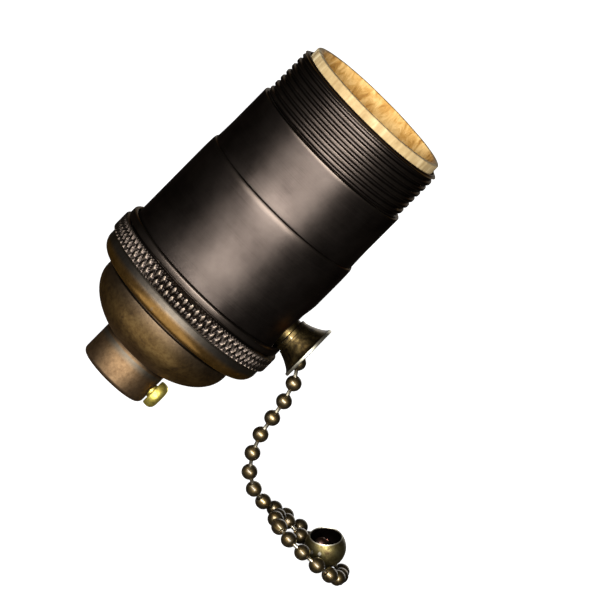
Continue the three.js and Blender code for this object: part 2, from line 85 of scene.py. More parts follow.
look_from(distance=1000, height=200, aim_x=16.08, aim_z=37.96, wide=120, roll=math.radians(45))

BEAD_R = 1.65
BEAD_PITCH = 4.25
LINK_R = 0.42

# the middles of the chain's beads from the bell to the ball
CHAIN_ROUTE = [
    (27.0, 1.6, 24.8), (28.2, 2.3, 20.7), (28.9, 2.9, 16.5), (29.6, 3.5, 12.3),
    (31.1, 4.3, 8.3), (33.4, 5.5, 4.9), (36.5, 7.5, 2.65), (39.7, 10.2, 1.65),
    (42.45, 13.4, 1.65), (45.2, 16.7, 1.65), (48.9, 18.9, 1.65), (51.8, 16.0, 1.65),
    (50.1, 12.2, 1.65), (46.1, 13.4, 1.65), (44.0, 10.25, 1.65), (43.9, 6.4, 1.65),
    (45.5, 3.2, 1.65), (48.6, 1.0, 1.65), (52.35, 1.3, 1.65), (56.3, 2.5, 1.65),
    (59.6, 4.9, 1.65), (61.3, 8.5, 1.65), (61.6, 12.5, 1.65), (61.3, 16.5, 1.65),
    (57.6, 15.0, 1.65),
]
# the beads that are inside the switch and the bell at rest, from the eyelet on
INNER_BEADS = [(i * BEAD_PITCH, 0, CHAIN_Z) for i in range(1, 5)]
INNER_BEADS += [(21.2, 0, 31.0), (24.7, 0.6, 28.6)]
BALL_MIDDLE = (55.1, 8.9, 4.3)
END_BEAD = (54.3, 8.4, 4.2)
EYELET = (0.9, 0, CHAIN_Z)
# how far along the last link the cord's path goes on
PATH_END = 0.36
BALL = {"r": 4.28, "wall": 0.35, "mouth": 3.3, "hole": 0.9}
BALL_FACING = Vector((-0.57, -0.41, 0.72)).normalized()

SCREW_Z = 3.55
BELL_LIP_FROM = 24.44
SHARP_ANGLE = 32


def place(point):
    """A point in millimetres about the lampholder's axis, as a point of the row frame."""
    return Vector((point[0] * MM + AXIS_X, point[1] * MM, point[2] * MM))


# ---------------------------------------------------------------- mesh helpers


def make(name, verts, faces, sharp=SHARP_ANGLE, at=place):
    """A smooth-shaded object from points in millimetres, with edges sharper than an angle kept."""
    mesh = bpy.data.meshes.new(name)
    mesh.from_pydata([at(v) for v in verts], [], faces)
    mesh.validate()
    mesh.update()
    mesh.shade_smooth()
    mesh.set_sharp_from_angle(angle=math.radians(sharp))
    piece = bpy.data.objects.new(name, mesh)
    bpy.context.scene.collection.objects.link(piece)
    return piece


def rounded(corners, steps=3):
    """A ring of (r, z) or (r, z, radius) corners, each with a radius cut to a small round."""
    ring = []
    n = len(corners)
    for i, corner in enumerate(corners):
        here = Vector(corner[:2])
        if len(corner) < 3:
            ring.append(tuple(here))
            continue
        before = Vector(corners[i - 1][:2]) - here
        after = Vector(corners[(i + 1) % n][:2]) - here
        reach = min(corner[2], before.length * 0.49, after.length * 0.49)
        a, b = here + before.normalized() * reach, here + after.normalized() * reach
        for k in range(steps + 1):
            t = k / steps
            ring.append(tuple(a * (1 - t) ** 2 + here * 2 * t * (1 - t) + b * t * t))
    return ring


def turned(name, ring, columns, shape=None, at=place):
    """A closed (r, z) ring turned about Z. shape(angle, r, z) may move each point.

    A point on the axis is a pole.
    """
    verts, rows = [], []
    for r, z in ring:
        if r < 1e-6:
            rows.append([len(verts)] * columns)
            verts.append((0, 0, z))
            continue
        rows.append(list(range(len(verts), len(verts) + columns)))
        for c in range(columns):
            angle = TAU * c / columns
            radius, height = shape(angle, r, z) if shape else (r, z)
            verts.append((radius * math.cos(angle), radius * math.sin(angle), height))
    faces = []
    for a, b in zip(rows, rows[1:] + rows[:1]):
        if a[0] == a[1] and b[0] == b[1]:
            continue
        for c in range(columns):
            d = (c + 1) % columns
            corners = [a[c], a[d], b[d], b[c]]
            faces.append([v for i, v in enumerate(corners) if v != corners[i - 1]])
    return make(name, verts, faces, at=at)


def arc(centre, radii, start, end, steps):
    """Points of an elliptical arc in a half section, by degrees from straight out."""
    points = []
    for i in range(steps + 1):
        a = math.radians(start + (end - start) * i / steps)
        points.append((centre[0] + radii[0] * math.cos(a), centre[1] + radii[1] * math.sin(a)))
    return points


def stepped(start, end, step):
    """Heights from start to end at about a step."""
    n = max(1, round(abs(end - start) / step))
    return [start + (end - start) * i / n for i in range(n + 1)]


def smoothstep(low, high, x):
    t = min(1.0, max(0.0, (x - low) / (high - low)))
    return t * t * (3 - 2 * t)


def lying_along_x(origin_x, z):
    """For pieces turned about Z: puts their axis along +X at a height."""
    return lambda v: place((v[2] + origin_x, v[1], z - v[0]))


def facing(centre, direction):
    """For pieces turned about Z: puts them at a centre, their +Z turned to a direction."""
    turn = Vector((0, 0, 1)).rotation_difference(direction)
    return lambda v: place(Vector(centre) + turn @ Vector(v))


def cut(piece, cutter, sharp=SHARP_ANGLE):
    """Cuts one object out of another, and deletes the cutter."""
    modifier = piece.modifiers.new("cut", "BOOLEAN")
    modifier.operation, modifier.object, modifier.solver = "DIFFERENCE", cutter, "EXACT"
    bpy.context.view_layer.update()
    evaluated = piece.evaluated_get(bpy.context.evaluated_depsgraph_get())
    mesh = bpy.data.meshes.new_from_object(evaluated)
    piece.modifiers.clear()
    old = piece.data
    piece.data = mesh
    bpy.data.meshes.remove(old)
    mesh.name = piece.name
    mesh.set_sharp_from_angle(angle=math.radians(sharp))
    gone = cutter.data
    bpy.data.objects.remove(cutter)
    bpy.data.meshes.remove(gone)


def box_mesh(name, low, high, at=place):
    x0, y0, z0 = low
    x1, y1, z1 = high
    verts = [(x, y, z) for z in (z0, z1) for y in (y0, y1) for x in (x0, x1)]
    faces = [(0, 2, 3, 1), (4, 5, 7, 6), (0, 1, 5, 4), (2, 6, 7, 3), (0, 4, 6, 2), (1, 3, 7, 5)]
    return make(name, verts, faces, at=at)


def finish_piece(piece, body, material, node):
    """Gives a piece its body and material, and hides the CAD node it stands for."""
    piece.data.materials.clear()
    piece.data.materials.append(material)
    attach(piece, body)
    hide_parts(node)


# ---------------------------------------------------------------- materials


class Nodes:
    """A short way to build a material's node tree."""

    def __init__(self, name):
        self.material = bpy.data.materials.new(name)
        self.material.use_nodes = True
        self.tree = self.material.node_tree
        self.shader = self.tree.nodes["Principled BSDF"]
        self.where = self.add("ShaderNodeTexCoord").outputs["Object"]

    def add(self, kind, **settings):
        node = self.tree.nodes.new(kind)
        for key, value in settings.items():
            setattr(node, key, value)
        return node

    def link(self, source, target):
        self.tree.links.new(source, target)

    def feed(self, value, socket):
        """Sets a socket to a colour or a number, or links another node's output to it."""
        if isinstance(value, tuple):
            socket.default_value = (*value, 1)
        elif isinstance(value, (int, float)):
            socket.default_value = value
        else:
            self.link(value, socket)

    def scaled(self, x, y, z, where=None):
        """The place, stretched along each axis."""
        mapping = self.add("ShaderNodeMapping")
        mapping.inputs["Scale"].default_value = (x, y, z)
        self.link(where or self.where, mapping.inputs["Vector"])
        return mapping.outputs["Vector"]

    def noise(self, scale, detail=4.0, roughness=0.55, where=None, distortion=0.0):
        node = self.add("ShaderNodeTexNoise")
        node.inputs["Scale"].default_value = scale
        node.inputs["Detail"].default_value = detail
        node.inputs["Roughness"].default_value = roughness
        node.inputs["Distortion"].default_value = distortion
        self.link(where or self.where, node.inputs["Vector"])
        return node.outputs["Fac"]

    def ramp(self, value, *stops):
        """A value turned into a colour or a number by (position, colour or number) stops."""
        node = self.add("ShaderNodeValToRGB")
        elements = node.color_ramp.elements
        while len(elements) < len(stops):
            elements.new(0.5)
        for element, (position, colour) in zip(elements, stops):
            element.position = position
            if isinstance(colour, (int, float)):
                colour = (colour, colour, colour)
            element.color = (*colour, 1)
        self.link(value, node.inputs["Fac"])
        return node.outputs["Color"]

    def mix(self, factor, a, b, blend="MIX"):
        node = self.add("ShaderNodeMix", data_type="RGBA", blend_type=blend)
        for value, socket in ((factor, node.inputs[0]), (a, node.inputs[6]), (b, node.inputs[7])):
            self.feed(value, socket)
        return node.outputs[2]

    def math(self, operation, a, b):
        node = self.add("ShaderNodeMath", operation=operation)
        self.feed(a, node.inputs[0])
        self.feed(b, node.inputs[1])
        return node.outputs[0]

    def coordinate(self, axis):
        """How far along X, Y or Z of the row frame, in metres."""
        parts = self.add("ShaderNodeSeparateXYZ")
        self.link(self.where, parts.inputs[0])
        return parts.outputs[axis]

    def apart(self, x, y, z=None):
        """Distance from a point, or from an upright line if z is left out."""
        flat = self.scaled(1, 1, 0 if z is None else 1)
        node = self.add("ShaderNodeVectorMath", operation="DISTANCE")
        self.link(flat, node.inputs[0])
        node.inputs[1].default_value = (x, y, z or 0)
        return node.outputs["Value"]

    def between(self, value, low, high):
        """0 below low, 1 above high, and smooth between them."""
        node = self.add("ShaderNodeMapRange", interpolation_type="SMOOTHSTEP")
        node.inputs["From Min"].default_value = low
        node.inputs["From Max"].default_value = high
        self.link(value, node.inputs["Value"])
        return node.outputs["Result"]

    def edges(self, low, high):
        """1 on outward edges, 0 elsewhere."""
        pointiness = self.add("ShaderNodeNewGeometry").outputs["Pointiness"]
        return self.ramp(pointiness, (low, 0.0), (high, 1.0))

    def hollows(self, low, high):
        """1 in creases and grooves, 0 elsewhere."""
        pointiness = self.add("ShaderNodeNewGeometry").outputs["Pointiness"]
        return self.ramp(pointiness, (low, 1.0), (high, 0.0))

    def bump(self, height, strength, distance, under=None):
        node = self.add("ShaderNodeBump")
        node.inputs["Strength"].default_value = strength
        node.inputs["Distance"].default_value = distance
        self.link(height, node.inputs["Height"])
        if under is not None:
            self.link(under, node.inputs["Normal"])
        return node.outputs["Normal"]

    def done(self, colour, roughness, normal=None, metallic=0.0, **sockets):
        for value, name in ((colour, "Base Color"), (roughness, "Roughness"), (normal, "Normal")):
            if value is not None:
                self.feed(value, self.shader.inputs[name])
        self.shader.inputs["Metallic"].default_value = metallic
        for name, value in sockets.items():
            self.shader.inputs[name].default_value = value
        return self.material


def dark_bronze():
    """Oil-rubbed bronze: near black and brushed round the axis, with browner bands low down. It
    carries painted shade in creases, grooves and under the cap's skirt, and lighter edges that are
    partly wear and partly a painted highlight.
    """
    n = Nodes("dark_bronze")
    lines = n.noise(1.0, 3, 0.6, n.scaled(60, 60, 9000))
    cloud = n.noise(120, 5, 0.6)
    fine = n.noise(2500, 2, 0.5)
    dark = n.ramp(cloud, (0.32, (0.029, 0.0225, 0.0190)), (0.68, (0.058, 0.046, 0.039)))
    streaked = n.mix(n.ramp(lines, (0.35, 0.0), (0.75, 0.5)), dark, (0.060, 0.047, 0.040))
    patina = n.mix(0.6, n.noise(230, 5, 0.6, distortion=0.3), n.noise(1100, 4, 0.7))
    neck = n.ramp(patina, (0.36, (0.080, 0.066, 0.048)), (0.62, (0.125, 0.102, 0.074)))
    tan = n.ramp(patina, (0.36, (0.095, 0.056, 0.028)), (0.62, (0.180, 0.113, 0.058)))
    gold = n.ramp(patina, (0.36, (0.055, 0.032, 0.014)), (0.50, (0.110, 0.064, 0.022)),
                  (0.62, (0.150, 0.094, 0.034)))
    brown = n.ramp(patina, (0.36, (0.036, 0.023, 0.013)), (0.62, (0.066, 0.045, 0.026)))
    orange = n.ramp(patina, (0.36, (0.180, 0.095, 0.026)), (0.62, (0.300, 0.165, 0.048)))
    grey = n.ramp(patina, (0.36, (0.086, 0.072, 0.057)), (0.62, (0.124, 0.103, 0.080)))
    height = n.coordinate("Z")
    colour = tan
    # the brown band darkens the dome towards the skirt: partly the dome's own browner tone, partly
    # painted shade in the recess under the skirt
    bands = ((5.0, 6.6, neck), (6.7, 6.9, tan), (7.2, 11.5, gold), (12.6, 17.0, brown),
             (17.3, 17.6, orange), (19.7, 21.1, grey), (22.0, 22.4, streaked))
    for low, high, tone in bands:
        colour = n.mix(n.between(height, low * MM, high * MM), colour, tone)
    # lighter outward edges and thread crests: partly wear, partly a painted highlight
    wear_and_highlight = n.edges(0.505, 0.56)
    colour = n.mix(n.math("MULTIPLY", wear_and_highlight, 0.4), colour, (0.20, 0.155, 0.11))
    # painted shade: creases, grooves, thread roots and the knurl's cuts are darkened almost to
    # black
    colour = n.mix(n.math("MULTIPLY", n.hollows(0.44, 0.495), 0.85), colour, (0.008, 0.006, 0.005))
    rough = n.ramp(n.mix(0.5, lines, cloud), (0.3, 0.31), (0.7, 0.39))
    matt = n.math("MULTIPLY", n.between(height, 17.7 * MM, 16.7 * MM), 0.13)
    rough = n.math("ADD", rough, matt)
    normal = n.bump(lines, 0.12, 0.00004, n.bump(fine, 0.06, 0.00003))
    return n.done(colour, rough, normal, 1.0, **{"Specular Tint": (0.35, 0.33, 0.30, 1)})


def antique_brass(name, dark, mid, light, scale, bright_edge, rough=(0.24, 0.42), patch=None,
                  **sockets):
    """Mottled aged brass of three tones. patch is (mask, tone, whether the mask is inverted)."""
    n = Nodes(name)
    mottle = n.noise(scale, 6, 0.65, distortion=0.6)
    speck = n.noise(scale * 5, 3, 0.6)
    colour = n.ramp(mottle, (0.34, dark), (0.5, mid), (0.68, light))
    colour = n.mix(n.ramp(speck, (0.55, 0.0), (0.75, 0.6)), colour, dark)
    colour = n.mix(n.math("MULTIPLY", n.edges(0.52, 0.60), 0.8), colour, bright_edge)
    if patch:
        mask, tone, inverted = patch
        colour = n.mix(mask(n), *((tone, colour) if inverted else (colour, tone)))
    roughness = n.ramp(mottle, (0.3, rough[1]), (0.7, rough[0]))
    return n.done(colour, roughness, n.bump(speck, 0.10, 0.00005), 1.0, **sockets)


def bell_lip(n):
    """1 on the bell's rolled lip, which is rubbed bright."""
    lip = BELL_LIP_FROM * MM + AXIS_X
    return n.between(n.coordinate("X"), lip - 0.02 * MM, lip + 0.04 * MM)


def outside_ball(n):
    """1 on the outside of the chain's ball, 0 on its inside."""
    middle = (BALL["r"] - BALL["wall"] / 2) * MM
    return n.between(n.apart(*place(BALL_MIDDLE)), middle - 0.1 * MM, middle + 0.1 * MM)


def plain_metal(name, dark, light, rough=0.3):
    """Clean plated or rolled metal with faint handling marks."""
    n = Nodes(name)
    cloud = n.noise(900, 4, 0.6)
    marks = n.noise(1.0, 3, 0.6, n.scaled(400, 9000, 400))
    colour = n.ramp(cloud, (0.35, dark), (0.65, light))
    roughness = n.ramp(marks, (0.3, rough * 0.8), (0.7, rough * 1.4))
    return n.done(colour, roughness, n.bump(marks, 0.12, 0.00003), 1.0)


def fibre():
    """Pressed kraft fibre: pale tan outside with upright seams, ochre and streaky inside."""
    n = Nodes("tan_fibre")
    streaks = n.noise(1.0, 5, 0.6, n.scaled(900, 900, 60), distortion=0.3)
    cloud = n.noise(180, 4, 0.6)
    nap = n.noise(5000, 3, 0.7)
    tears = n.noise(1.0, 5, 0.7, n.scaled(420, 420, 170), distortion=1.4)
    outside = n.ramp(n.mix(0.5, streaks, cloud), (0.36, (0.24, 0.155, 0.060)),
                     (0.50, (0.34, 0.240, 0.108)), (0.64, (0.49, 0.375, 0.200)))
    seams = n.ramp(n.noise(1.0, 1, 0.4, n.scaled(260, 260, 8)), (0.66, 0.0), (0.70, 0.6))
    outside = n.mix(seams, outside, (0.72, 0.60, 0.36))
    inside = n.ramp(n.mix(0.4, tears, cloud), (0.39, (0.20, 0.075, 0.008)),
                    (0.48, (0.43, 0.215, 0.038)), (0.60, (0.66, 0.420, 0.150)))
    colour = n.mix(n.between(n.apart(AXIS_X, 0), 15.6 * MM, 16.2 * MM), inside, outside)
    normal = n.bump(nap, 0.35, 0.00012, n.bump(n.mix(0.5, streaks, tears), 0.3, 0.00018))
    return n.done(colour, 0.85, normal)


def phenolic():
    """Brown-black moulding with a faint marbling."""
    n = Nodes("phenolic")
    marble = n.noise(300, 6, 0.7, distortion=1.5)
    colour = n.ramp(marble, (0.4, (0.018, 0.012, 0.010)), (0.7, (0.055, 0.030, 0.022)))
    grain = n.noise(3000, 2, 0.5)
    return n.done(colour, n.ramp(marble, (0.3, 0.28), (0.7, 0.42)), n.bump(grain, 0.1, 0.00004))


def black_fibre():
    """Vulcanised fibre: matt black-brown with a fine felted grain."""
    n = Nodes("black_fibre")
    felt = n.noise(2200, 5, 0.7)
    colour = n.ramp(felt, (0.35, (0.020, 0.017, 0.015)), (0.7, (0.060, 0.050, 0.044)))
    return n.done(colour, 0.8, n.bump(felt, 0.4, 0.0001))


BRONZE = dark_bronze()
BELL_BRASS = antique_brass("bell_brass", (0.012, 0.008, 0.006), (0.075, 0.052, 0.020),
                           (0.27, 0.195, 0.075), 620, (0.45, 0.40, 0.28), (0.30, 0.42),
                           (bell_lip, (0.50, 0.46, 0.35), False))
CHAIN_BRASS = antique_brass("chain_brass", (0.016, 0.011, 0.006), (0.080, 0.052, 0.018),
                            (0.23, 0.150, 0.050), 650, (0.30, 0.25, 0.15), (0.34, 0.50),
                            **{"Coat Weight": 0.6, "Coat Roughness": 0.16})
BALL_BRASS = antique_brass("ball_brass", (0.042, 0.026, 0.012), (0.125, 0.100, 0.038),
                           (0.22, 0.185, 0.085), 420, (0.60, 0.56, 0.45), (0.38, 0.50),
                           (outside_ball, (0.012, 0.008, 0.007), True))
END_BRASS = antique_brass("end_bead_brass", (0.020, 0.007, 0.005), (0.080, 0.024, 0.015),
                          (0.18, 0.065, 0.035), 650, (0.5, 0.42, 0.35), (0.26, 0.40))
LINK_BRASS = plain_metal("link_brass", (0.55, 0.48, 0.34), (0.80, 0.72, 0.55), 0.25)
SET_SCREW_BRASS = antique_brass("set_screw_brass", (0.26, 0.200, 0.040), (0.62, 0.51, 0.110),
                                (0.82, 0.71, 0.21), 700, (0.85, 0.78, 0.36), (0.44, 0.56))
SCREW_BRASS = plain_metal("screw_brass", (0.60, 0.42, 0.12), (0.82, 0.62, 0.24), 0.26)
STEEL = plain_metal("steel", (0.42, 0.42, 0.42), (0.62, 0.62, 0.61), 0.3)
ALUMINIUM = plain_metal("aluminium", (0.62, 0.62, 0.62), (0.82, 0.82, 0.81), 0.32)
COPPER = plain_metal("spring_copper", (0.45, 0.22, 0.11), (0.72, 0.40, 0.22), 0.28)
FIBRE = fibre()
PHENOLIC = phenolic()
BLACK_FIBRE = black_fibre()


# ---------------------------------------------------------------- cap


KNURL = {"r": 20.89, "from": 22.2, "to": 26.1, "depth": 0.5, "diamonds": 82}


def knurl_cut(angle, z):
    """How deep the diamond knurl is cut at a place on its band."""
    low, high = KNURL["from"] + 0.3, KNURL["to"] - 0.3
    up = (z - low) / (high - low)
    a = KNURL["diamonds"] * angle / TAU + up
    b = KNURL["diamonds"] * angle / TAU - up + 0.5
    ridge = min(abs(a - round(a)), abs(b - round(b))) * 2
    return KNURL["depth"] * (1 - min(1.0, ridge * 2.1))


def socket_cap():
    neck, nipple, dome = 7.8, 4.7, (16.35, 9.6)
    rim_z, skirt, skirt_z, bulge = 15.9, 20.22, 17.8, 2.9
    start = math.degrees(math.acos(neck / dome[0]))
    band = [(KNURL["r"], z) for z in stepped(KNURL["from"] + 0.3, KNURL["to"] - 0.3, 0.18)]
    bore = [(nipple, z) for z in stepped(7.6, 0.5, 0.12)]
    ring = rounded([
        (nipple + 0.4, 0), (neck - 0.5, 0, 0.2), (neck, 0.55, 0.5), (neck, 6.7),
        *arc((0, rim_z), dome, -start, 0, 26),
        (dome[0], 17.0, 0.1), (dome[0] - 0.3, 17.25), (dome[0] - 0.3, skirt_z + 0.15),
        *arc((skirt - bulge, skirt_z + bulge), (bulge, bulge), -88, 0, 14),
        (skirt, KNURL["from"] - 0.25, 0.15), (skirt + 0.15, KNURL["from"], 0.1),
        *band,
        (20.45, KNURL["to"], 0.12), (20.1, KNURL["to"] + 0.25, 0.15),
        (20.38, KNURL["to"] + 0.5, 0.15),
        (20.38, 27.75, 0.3), (20.1, 28.1, 0.25), (19.55, 28.1, 0.1), (19.5, 22.25), (18.2, 22.2),
        (18.2, 20.2), (15.9, 18.3),
        *arc((0, rim_z), (15.15, 8.4), 0, -62, 14),
        (nipple + 0.3, 8.3), *bore,
    ])

    def shape(angle, r, z):
        if r > 20.7 and KNURL["from"] <= z <= KNURL["to"]:
            return r - knurl_cut(angle, z), z
        if abs(r - nipple) < 0.01 and 0.5 < z < 7.6:
            fade = smoothstep(0.5, 1.2, z) * smoothstep(7.6, 7.0, z)
            return r + 0.22 * fade * math.cos(TAU * z / 0.94 - angle), z
        return r, z

    cap = turned("cap", ring, KNURL["diamonds"] * 8, shape)
    hole = turned("hole", [(0, 4), (1.75, 4), (1.75, 9), (0, 9)], 32,
                  at=lying_along_x(0, SCREW_Z))
    cut(cap, hole)
    finish_piece(cap, "lampholder", BRONZE, "socket_cap")


def set_screw():
    head, shank = 2.93, 1.5
    ring = rounded([
        (0, 5.0), (shank - 0.3, 5.0), (shank, 5.3), (shank, 8.1), (head - 0.2, 8.1, 0.1),
        (head, 8.35, 0.2), (head, 9.55, 0.4), (head - 0.55, 10.25, 0.4), (head - 1.5, 10.48, 0.5),
        (0, 10.5),
    ], 4)
    screw = turned("set_screw", ring, 72, at=lying_along_x(0, SCREW_Z))
    slot = box_mesh("slot", (-3.5, -0.38, 9.7), (3.5, 0.38, 11), at=lying_along_x(0, SCREW_Z))
    cut(screw, slot)
    finish_piece(screw, "set_screw", SET_SCREW_BRASS, "cap_set_screw")


# ---------------------------------------------------------------- shell and liner


THREAD = {
    "crest": 18.04, "depth": 0.44, "pitch": 1.58, "front_crest": 64.7, "from": 63.8, "to": 74.2,
}
FLAT = {"depth": 0.42, "half": 6.4}


def thread_depth(angle, z):
    """How far the outside thread is cut below its crest: round crests and narrower roots."""
    turn = (z - THREAD["front_crest"]) / THREAD["pitch"] - angle / TAU + 0.25
    wave = smoothstep(0.08, 0.80, 0.5 - 0.5 * math.cos(TAU * turn))
    fade = smoothstep(THREAD["from"] - 0.1, THREAD["from"] + 0.7, z) * smoothstep(
        THREAD["to"] + 0.3, THREAD["to"] - 0.8, z)
    return THREAD["depth"] * (1 - fade * wave)


def outer_shell():
    low_r, necked = 19.2, 18.56
    thread = [(THREAD["crest"], z) for z in stepped(THREAD["from"], THREAD["to"] + 0.2, 0.08)]
    lower = [(low_r, z) for z in stepped(23.4, 45.6, 0.6)]
    ring = rounded([
        (18.35, 22.5, 0.1), (low_r, 22.5, 0.2), *lower, (19.19, 46.6), (19.17, 47.5), (19.14, 48.3),
        (19.10, 49.1), (18.97, 49.65, 0.2), (18.68, 49.8, 0.08), (18.7, 49.95, 0.1),
        (18.66, 50.8), (18.63, 51.7), (18.60, 52.6), (18.58, 53.5), (necked, 54.4),
        (necked, 62.8), (necked, 63.5, 0.15), (17.6, 63.55, 0.1),
        *thread,
        (17.55, 74.55), (17.38, 74.8, 0.15), (17.1, 74.8, 0.1), (17.1, 62.6), (17.7, 62.0),
        (17.7, 50.4), (18.3, 48.2), (18.3, 24),
    ])

    def shape(angle, r, z):
        if THREAD["from"] <= z <= THREAD["to"] + 0.2 and r > 17.9:
            return r - thread_depth(angle, z), z
        if r > 19.0 and 23 < z < 46:
            away = math.hypot(r * math.sin(angle), (z - CHAIN_Z) * 0.8)
            if math.cos(angle) > 0:
                return r - FLAT["depth"] * (1 - smoothstep(3.4, FLAT["half"], away)), z
        return r, z

    shell = turned("shell", ring, 288, shape)
    # the thread's flanks are steeper than the usual sharp angle and have to stay smooth
    cut(shell, bell_slot(3.8), sharp=65)
    finish_piece(shell, "lampholder", BRONZE, "outer_shell")


def bell_slot(half):
    """A cutter for the slot that the bell sits in: open below, and round above the bell."""
    outline = [(-half, 0), (half, 0)]
    for i in range(25):
        a = math.pi * i / 24
        outline.append((half * math.cos(a), CHAIN_Z + half * math.sin(a)))
    verts = [(x, y, z) for x in (12, 24) for y, z in outline]
    n = len(outline)
    faces = [list(range(n))[::-1], list(range(n, 2 * n))]
    faces += [[i, (i + 1) % n, n + (i + 1) % n, n + i] for i in range(n)]
    slot = make("slot", verts, faces)
    fix_normals(slot)
    return slot


def fix_normals(piece):
    """Turns all of a mesh's faces outwards."""
    editable = bmesh.new()
    editable.from_mesh(piece.data)
    bmesh.ops.recalc_face_normals(editable, faces=editable.faces)
    editable.to_mesh(piece.data)
    editable.free()


def insulating_liner():
    top = 76.7
    outside = [(16.78, z) for z in stepped(26, 76.0, 1.2)]
    inside = [(15.22, z) for z in stepped(76.0, 26, 1.2)]
    ring = rounded([(15.22, 24.05), (16.78, 24.05), *outside, (16.78, top, 0.45),
                    (15.22, top, 0.35), *inside])
    wobble = [(k, rng.uniform(0, TAU), rng.uniform(0.01, 0.03)) for k in (2, 3, 5, 9)]

    def shape(angle, r, z):
        give = sum(size * math.sin(k * angle + phase) for k, phase, size in wobble)
        rise = min(0.0, give) if z > 76 else 0.0
        return r + (give if r < 16 else -abs(give)), z + rise

    liner = turned("liner", ring, 240, shape)
    slot = box_mesh("slot", (10, -3.9, 20), (24, 3.9, 35.6))
    cut(liner, slot)
    finish_piece(liner, "lampholder", FIBRE, "insulating_liner")


# ---------------------------------------------------------------- lamp contacts


def lamp_screw_shell():
    crest, depth, wall, pitch = 14.2, 0.55, 0.42, 3.62
    low, high = 49.0, 70.6

    def wave(angle, z):
        fade = smoothstep(low, low + 1.2, z) * smoothstep(high, high - 1.0, z)
        return -depth * (0.5 - 0.5 * fade * math.cos(TAU * (z / pitch - angle / TAU)))

    out = [(crest, z) for z in stepped(low, high, 0.3)]
    ring = rounded([
        (7.6, 47.32), (13.5, 47.32, 0.5), (13.9, 48.2), *out, (13.95, 71.1), (14.2, 71.45, 0.1),
        (13.8, 71.45, 0.1), (13.5, 71.0), *[(r - wall, z) for r, z in reversed(out)],
        (13.2, 47.8, 0.4), (7.6, 47.8),
    ])

    def shape(angle, r, z):
        if low <= z <= high and r > 13.6:
            return r + wave(angle, z), z
        return r, z

    shell = turned("screw_shell", ring, 144, shape)
    finish_piece(shell, "lampholder", ALUMINIUM, "lamp_screw_shell")


# ---------------------------------------------------------------- bell, chain and ball


def chain_bell():
    lip = 25.1
    ring = rounded([
        (1.95, 9.8, 0.2), (2.7, 9.8, 0.2), (2.7, 14.95), (3.35, 14.95, 0.2), (3.35, 19.35),
        (3.85, 19.5, 0.1), (3.85, 20.42), (3.95, 20.5, 0.1), (4.0, 20.8, 0.3), (4.28, 21.6, 1.2),
        (4.78, 22.7, 1.2), (5.4, 23.75, 0.8), (5.95, 24.35, 0.2), (6.34, 24.45, 0.15),
        (6.34, lip - 0.12, 0.15), (6.2, lip, 0.12), (5.75, lip, 0.2), (5.25, 24.3, 0.6),
        (4.55, 23.2, 1.0), (3.9, 21.9, 1.0), (3.2, 20.4, 0.8), (1.95, 18.6, 0.5),
    ], 5)

    def shape(angle, r, z):
        """Flattens the collar's lower side where the cap's rim passes under it."""
        clear = 3.42 / max(0.01, math.cos(angle))
        return (min(r, clear) if 19.3 < z < 20.46 else r), z

    bell = turned("bell", ring, 96, shape, at=lying_along_x(0, CHAIN_Z))
    finish_piece(bell, "lampholder", BELL_BRASS, "chain_bell")


class Soup:
    """Vertices and faces of many small pieces that become one mesh, each with a material number."""

    def __init__(self):
        self.verts, self.faces, self.kinds = [], [], []

    def turned(self, ring, columns, at, kind, shape=None):
        """An open (r, z) line turned about Z, put in place by at(); ends on the axis close it."""
        rows = []
        for r, z in ring:
            if r < 1e-6:
                rows.append([len(self.verts)] * columns)
                self.verts.append(at((0, 0, z)))
                continue
            rows.append(list(range(len(self.verts), len(self.verts) + columns)))
            for c in range(columns):
                angle = TAU * c / columns
                radius = shape(angle, r, z) if shape else r
                self.verts.append(at((radius * math.cos(angle), radius * math.sin(angle), z)))
        for a, b in zip(rows, rows[1:]):
            for c in range(columns):
                d = (c + 1) % columns
                corners = [a[c], a[d], b[d], b[c]]
                face = [v for i, v in enumerate(corners) if v != corners[i - 1]]
                self.faces.append(face)
                self.kinds.append(kind)

    def object(self, name, materials, sharp=40):
        piece = make(name, self.verts, self.faces, sharp, at=lambda v: v)
        for material in materials:
            piece.data.materials.append(material)
        piece.data.polygons.foreach_set("material_index", self.kinds)
        return piece


def bead(soup, centre, along):
    """A rolled hollow bead: a ball with a dimple at each pole and a closed seam down one side."""
    spin = Quaternion((0, 0, 1), rng.uniform(0, TAU))
    turn = Vector((0, 0, 1)).rotation_difference(along) @ spin
    hole, steps = 0.62, 14
    start = math.asin(hole / BEAD_R)
    ring = [(0, -BEAD_R + 0.55), (hole * 0.8, -BEAD_R + 0.45), (hole, -BEAD_R + 0.16)]
    for i in range(steps + 1):
        a = start + (math.pi - 2 * start) * i / steps
        ring.append((BEAD_R * math.sin(a), -BEAD_R * math.cos(a)))
    ring += [(hole, BEAD_R - 0.16), (hole * 0.8, BEAD_R - 0.45), (0, BEAD_R - 0.55)]

    def seam(angle, r, z):
        off = abs(math.remainder(angle, TAU)) * r
        return r - 0.09 * max(0.0, 1 - off / 0.16) if r > hole else r

    soup.turned(ring, 28, lambda v: place(Vector(centre) + turn @ Vector(v)), 0, seam)


def link(soup, start, end):
    """A dumb-bell link's shank between two beads."""
    a, b = Vector(start), Vector(end)
    along = (b - a).normalized()
    reach = (b - a).length / 2 - BEAD_R + 0.45
    turn = Vector((0, 0, 1)).rotation_difference(along)
    middle = (a + b) / 2
    ring = [(0, -reach), (LINK_R * 1.15, -reach), (LINK_R, -reach * 0.5), (LINK_R * 0.94, 0),
            (LINK_R, reach * 0.5), (LINK_R * 1.15, reach), (0, reach)]
    soup.turned(ring, 12, lambda v: place(middle + turn @ Vector(v)), 1)


